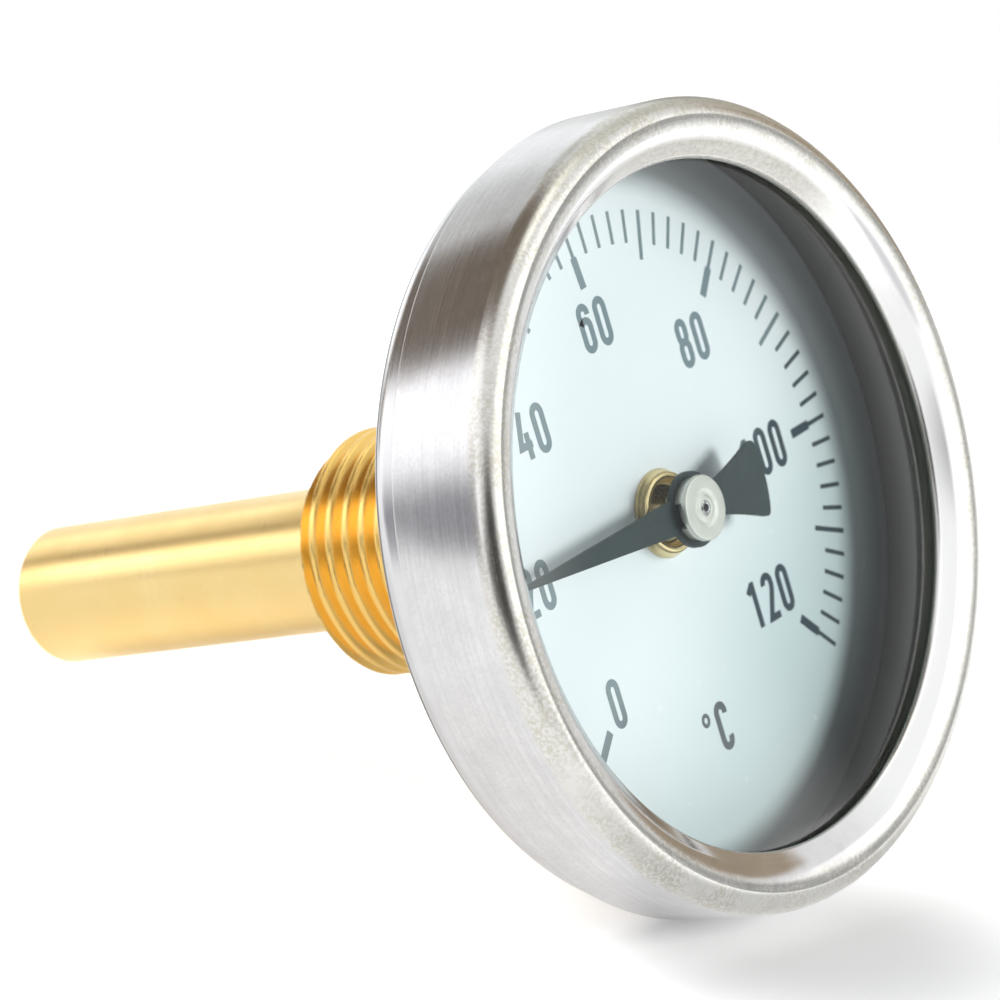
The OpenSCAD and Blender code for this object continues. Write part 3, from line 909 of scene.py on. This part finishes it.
def pocket_profile():
    """Bore, hexagon, thread and tube, from the bore's end round to the tip."""
    n = 16
    hex_rows = [
        (HEX_FACE_R + CHAMFER_R * i / n, HEX_Y + CHAMFER_Y * i / n) for i in range(n + 1)
    ]
    flat_l = -HEX_Y - 2 * CHAMFER_Y
    hex_rows += [(HEX_HALF + 2, HEX_Y + CHAMFER_Y + flat_l * i / 8) for i in range(1, 8)]
    hex_rows += [
        (HEX_HALF + 2 - CHAMFER_R * i / n, -CHAMFER_Y + CHAMFER_Y * i / n) for i in range(n + 1)
    ]
    tube_y = THREAD_L + 0.3
    return (
        [(0, BORE_END), (3.2, BORE_END), (BORE_R, 49.2), (BORE_R, -8.6), (BORE_R + 0.4, HEX_Y)]
        + [(r, y, hexagon) for r, y in hex_rows]
        + [(THREAD_R, THREAD_L * i / 280, thread) for i in range(281)]
        + [(TUBE_R + 0.3, THREAD_L), (TUBE_R, tube_y)]
        + [(TUBE_R, tube_y + (TIP_Y - 0.8 - THREAD_L - 0.3) * i / 12) for i in range(1, 12)]
        + arc(TUBE_R - 0.7, TIP_Y - 0.7, 0.7, 0, 90, 10)
        + [(3.0, TIP_Y), (0, TIP_Y)]
    )


def cut_screw_hole(ob):
    """Cuts the lock screw's hole through the hexagon's top flat."""
    bm = bmesh.new()
    bmesh.ops.create_cone(
        bm, cap_ends=True, segments=48, depth=0.012,
        radius1=SCREW_HOLE_R * MM, radius2=SCREW_HOLE_R * MM,
        matrix=Matrix.Translation((0, HEX_Y / 2 * MM, 0.0095)),
    )
    cutter = make_object("hole_cutter", bm, 0)
    cut = ob.modifiers.new("screw_hole", "BOOLEAN")
    cut.object, cut.operation, cut.solver = cutter, "DIFFERENCE", "EXACT"
    depsgraph = bpy.context.evaluated_depsgraph_get()
    mesh = bpy.data.meshes.new_from_object(ob.evaluated_get(depsgraph))
    ob.modifiers.clear()
    ob.data = mesh
    mesh.set_sharp_from_angle(angle=math.radians(32))
    bpy.data.objects.remove(cutter)


pocket = lathe("pocket", pocket_profile(), 180, 32)
cut_screw_hole(pocket)
piece(pocket, "well", "pocket", "brass_bright", "thermowell")

# ---------------------------------------------------------------- carried-over CAD pieces
CAD_LOOKS = {
    "case_neck": "inner", "neck_nut": "inner", "neck_washer": "screw", "stem_tube": "stem",
    "tip_plug": "inner", "coil_anchor": "screw", "guide_bearing": "inner",
    "bimetal_coil": "bimetal", "coil_collar": "inner", "spindle": "pin",
    "pointer": "pointer", "lock_screw": "screw",
}
BEVELS = {"pointer": 0.05, "lock_screw": 0.06, "neck_nut": 0.1, "case_neck": 0.08}

for node, look in CAD_LOOKS.items():
    ob = NODES[node]
    dress(ob, look)
    ob.data.shade_smooth()
    ob.data.set_sharp_from_angle(angle=math.radians(32))
for node, width in BEVELS.items():
    bevel = NODES[node].modifiers.new("edge", "BEVEL")
    bevel.width = width * MM
    bevel.segments = 2
    bevel.limit_method = "ANGLE"
    bevel.angle_limit = math.radians(40)


# ---------------------------------------------------------------- camera
def placed(location, x_axis, y_axis, z_axis):
    """The matrix that puts an object at location with these axes."""
    turn = Matrix((x_axis, y_axis, z_axis)).transposed().to_4x4()
    return Matrix.Translation(location) @ turn


cam_data = bpy.data.cameras.new("camera")
cam = bpy.data.objects.new("camera", cam_data)
scene.collection.objects.link(cam)
cam.matrix_world = placed(
    Vector((-254.145, -219.375, 63.398)) * MM,
    x_axis=Vector((0.585168, -0.759081, -0.285260)),
    y_axis=Vector((0.317742, -0.109014, 0.941890)),
    z_axis=Vector((-0.746068, -0.641803, 0.177400)),
)
cam_data.sensor_width = 36
cam_data.lens = 150.14
cam_data.clip_start = 0.01
cam_data.clip_end = 20
scene.camera = cam
focus = bpy.data.objects.new("focus", None)
scene.collection.objects.link(focus)
focus.location = (-0.012, -0.025, 0.004)
cam_data.dof.use_dof = True
cam_data.dof.focus_object = focus
cam_data.dof.aperture_fstop = 65

# ---------------------------------------------------------------- floor
# The thermometer lies as it would on a table: on the ring's rim and the tip.
ROLL = math.radians(12.0)
TILT = math.atan(0.3428)
RIM_UP = Vector((math.sin(ROLL), 0, math.cos(ROLL)))  # from the touching rim to the axis
FLOOR_UP = (math.cos(TILT) * RIM_UP - math.sin(TILT) * Vector((0, 1, 0))).normalized()
touch = (-BEZEL_R * RIM_UP + Vector((0, FRONT_Y + 2.2, 0))) * MM
down = ROLL + math.pi
lowest = min(
    (Vector((r * math.sin(down), y, r * math.cos(down))) * MM).dot(FLOOR_UP)
    for r, y in ring_profile + [(TUBE_R, TIP_Y - 0.7), (TUBE_R - 0.35, TIP_Y)]
)
bm = bmesh.new()
bmesh.ops.create_grid(bm, x_segments=2, y_segments=2, size=0.42)
floor = make_object("floor", bm, 0)
floor_x = Vector((1, 0, 0)).cross(FLOOR_UP).normalized()
floor_y = FLOOR_UP.cross(floor_x).normalized()
floor.matrix_world = placed(FLOOR_UP * (lowest - 0.00005), floor_x, floor_y, FLOOR_UP)


def floor_white():
    """White table that glows differently to the camera, to reflections and to soft light, with a
    painted contact shadow round the ring's touch.
    """
    mat = Mat("floor_white")
    cloud = mat.noise(scale=40, detail=2, rough=0.5)
    grain = mat.noise(scale=900, detail=2, rough=0.55)
    rays = mat.node("ShaderNodeLightPath").outputs

    # Painted contact shadow: the glow grows with distance, in mm, from where the ring touches.
    distance = mat.node("ShaderNodeVectorMath", operation="DISTANCE")
    mat.put(mat.geometry("Position"), distance.inputs[0])
    distance.inputs[1].default_value = touch
    away = mat.mul(distance.outputs["Value"], 1000.0)
    seen = mat.mul(rays["Is Camera Ray"], mat.ease(away, over=(7, 30), to=(0.22, 0.80)))
    mirrored = mat.ease(away, over=(15, 75), to=(0.26, 0.44))
    front = mat.split(mat.geometry("Position"))
    # Painted reflection: the floor ahead of the dial glows more in reflections.
    painted_front_glow = mat.mul(
        mat.ease(front[1], over=(-0.055, -0.09), to=(0, 0.32)),
        mat.ramp(front[0], over=(-0.02, 0.03)),
    )
    mirrored = mat.mul(rays["Is Glossy Ray"], mat.add(mirrored, painted_front_glow))
    soft = mat.mul(rays["Is Diffuse Ray"], 0.38)
    mat.set(
        Base_Color=mat.mix(cloud, (0.79, 0.79, 0.79), (0.81, 0.81, 0.81)),
        Roughness=0.9,
        Normal=mat.bump(grain, strength=0.03, depth=0.05),
        Specular_IOR_Level=0.0,
        Emission_Color=(1, 1, 1),
        Emission_Strength=mat.add(seen, mat.add(mirrored, soft)),
    )

    # Clear from below, and in reflections at the far left and towards the camera.
    geometry = mat.node("ShaderNodeNewGeometry").outputs
    place = mat.split(geometry["Position"])
    left = mat.mul(
        mat.ease(place[0], over=(-0.110, -0.150)), mat.ramp(place[1], over=(0.0, 0.05))
    )
    lens = mat.add(mat.mul(place[0], -0.65), mat.mul(place[1], -0.75))
    ends = mat.math("MAXIMUM", left, mat.ease(lens, over=(0.095, 0.19)))
    ends = mat.mul(ends, rays["Is Glossy Ray"])
    blend = mat.node("ShaderNodeMixShader")
    mat.put(mat.math("MAXIMUM", ends, geometry["Backfacing"]), blend.inputs[0])
    mat.put(mat.shader.outputs[0], blend.inputs[1])
    mat.put(mat.node("ShaderNodeBsdfTransparent").outputs[0], blend.inputs[2])
    mat.put(blend.outputs[0], mat.surface)
    return mat.material


floor.data.materials.append(floor_white())

# ---------------------------------------------------------------- studio light
# A white tent seen in the metal: dark strips overhead and at the camera, softboxes between them.
# Diffuse surfaces are lit by a dimmer tent, the floor and the key light.
world = bpy.data.worlds.new("studio")
scene.world = world
world.use_nodes = True
world.cycles.sampling_method = "NONE"


class Sky(Graph):
    """A tent colour with cards laid over it, each covering the ones before."""

    def __init__(self, tree, colour):
        super().__init__(tree)
        tree.nodes.clear()
        self.direction = self.node("ShaderNodeTexCoord").outputs["Generated"]
        x, self.y, self.z = self.split(self.direction)
        # Degrees about Y, from the top (+Z) towards +X.
        self.around = self.mul(self.math("ARCTAN2", x, self.z), 180 / math.pi)
        self.colour = colour

    def band(self, rise, fall):
        """A strip along Y that fades in and out over these angles."""
        return self.mul(
            self.ease(self.around, rise), self.sub(1.0, self.ease(self.around, fall))
        )

    def card(self, mask, colour):
        self.colour = self.mix(mask, self.colour, colour)

    def spot(self, direction, fade, colour, above=None):
        """A round card fading between two degrees off a direction; above fades it in over z."""
        dot = self.node("ShaderNodeVectorMath", operation="DOT_PRODUCT")
        self.put(self.direction, dot.inputs[0])
        dot.inputs[1].default_value = Vector(direction).normalized()
        inner, outer = (math.cos(math.radians(degrees)) for degrees in fade)
        mask = self.ease(dot.outputs["Value"], over=(outer, inner))
        if above:
            mask = self.mul(mask, self.ease(self.z, above))
        self.card(mask, colour)


sky = Sky(world.node_tree, (0.95, 0.955, 0.96))
back = sky.ease(sky.y, over=(0.0, 0.2))
sky.card(sky.mul(back, sky.band(rise=(20, 26), fall=(36, 52))), (0.66, 0.675, 0.66))
sky.card(sky.mul(back, sky.ease(sky.around, over=(40, 62))), (1.12, 1.15, 1.16))
sky.spot((-0.76, 0.10, 0.62), (24, 36), (1.36, 1.36, 1.40))
# Strips at the upper left: y range over which each fades in, its edges and colour.
for y_range, rise, fall, colour in (
    ((-0.15, 0.05), (-62, -45), (-26, -18), (1.5, 1.5, 1.53)),
    ((-0.1, 0.1), (-84, -77), (-66, -52), (0.32, 0.315, 0.34)),
):
    sky.card(sky.mul(sky.ease(sky.y, y_range), sky.band(rise, fall)), colour)
# Round cards: direction, inner and outer degrees, colour, z range of a lower edge.
for spot in (
    ((0.35, -0.93, 0.03), (20, 28), (1.6, 1.6, 1.58)),
    ((0.74, -0.64, 0.14), (8, 12), (1.4, 1.4, 1.38)),
    ((0.78, -0.595, -0.20), (8, 13), (0.28, 0.285, 0.29)),
    ((0.60, -0.66, -0.46), (10, 16), (1.35, 1.36, 1.36)),
    ((0.33, -0.50, 0.80), (9, 17), (1.75, 1.72, 1.58)),
    ((0.94, 0.28, 0.12), (16, 25), (0.42, 0.41, 0.37), (-0.14, -0.06)),
    ((0.20, -0.88, -0.43), (7, 12), (0.70, 0.695, 0.72)),
    ((-0.90, -0.43, 0.06), (6, 16), (0.11, 0.10, 0.095)),
    ((-0.60, -0.79, 0.02), (18, 29), (0.045, 0.044, 0.042)),
    ((0.97, -0.03, 0.03), (21, 27), (0.44, 0.36, 0.27), (-0.14, -0.09)),
    ((0.985, 0.14, -0.095), (4, 8), (0.05, 0.056, 0.07)),
):
    sky.spot(*spot)
overhead = sky.band(rise=(-30, -20), fall=(15, 24))
sky.card(sky.mul(overhead, sky.ease(sky.y, over=(-0.62, -0.30))), (0.185, 0.148, 0.115))
rays = sky.node("ShaderNodeLightPath").outputs
tone = sky.mix(rays["Is Diffuse Ray"], sky.colour, (0.08, 0.084, 0.088))
tone = sky.mix(rays["Is Camera Ray"], tone, (1.0, 1.0, 1.0))
background = sky.node("ShaderNodeBackground")
sky.put(tone, background.inputs[0])
sky.put(background.outputs[0], sky.node("ShaderNodeOutputWorld").inputs[0])


def area(name, location, size, power, colour=(1, 1, 1), target=None):
    """A disc light hidden from reflections; without a target it points straight down."""
    light = bpy.data.lights.new(name, "AREA")
    light.shape = "DISK"
    light.size = size
    light.energy = power
    light.color = colour
    light.cycles.cast_shadow = True
    ob = bpy.data.objects.new(name, light)
    scene.collection.objects.link(ob)
    ob.location = location
    if target:
        aim = Vector(target) - Vector(location)
        ob.rotation_euler = aim.to_track_quat("-Z", "Y").to_euler()
    ob.visible_glossy = False
    return ob


HEAD = (0, -0.02, 0)
area("key", (0.40, -1.02, -0.03), size=0.38, power=8.7, colour=(1.0, 0.99, 0.97), target=HEAD)
area("fill", (0.62, -0.74, -0.02), size=0.75, power=3.3, colour=(0.98, 1.0, 1.0), target=HEAD)
area("top", (-0.10, 0.40, 0.85), size=0.6, power=6.5, target=(0, 0, 0))

# Two reflector cards over the bare tube, seen only as reflections in it.
for name, x, width, power in (
    ("card_right", 0.038, 0.096, 0.049),
    ("card_left", -0.0725, 0.055, 0.023),
):
    card = area(name, (x, 0.20, 0.12), width, power)
    card.data.shape = "RECTANGLE"
    card.data.size_y = 0.17
    card.visible_glossy = True
    card.visible_diffuse = False
    card.visible_camera = False
    card.visible_transmission = False

scene.view_settings.view_transform = "Standard"
scene.view_settings.look = "None"
scene.view_settings.exposure = 0.0
scene.view_settings.gamma = 1.0
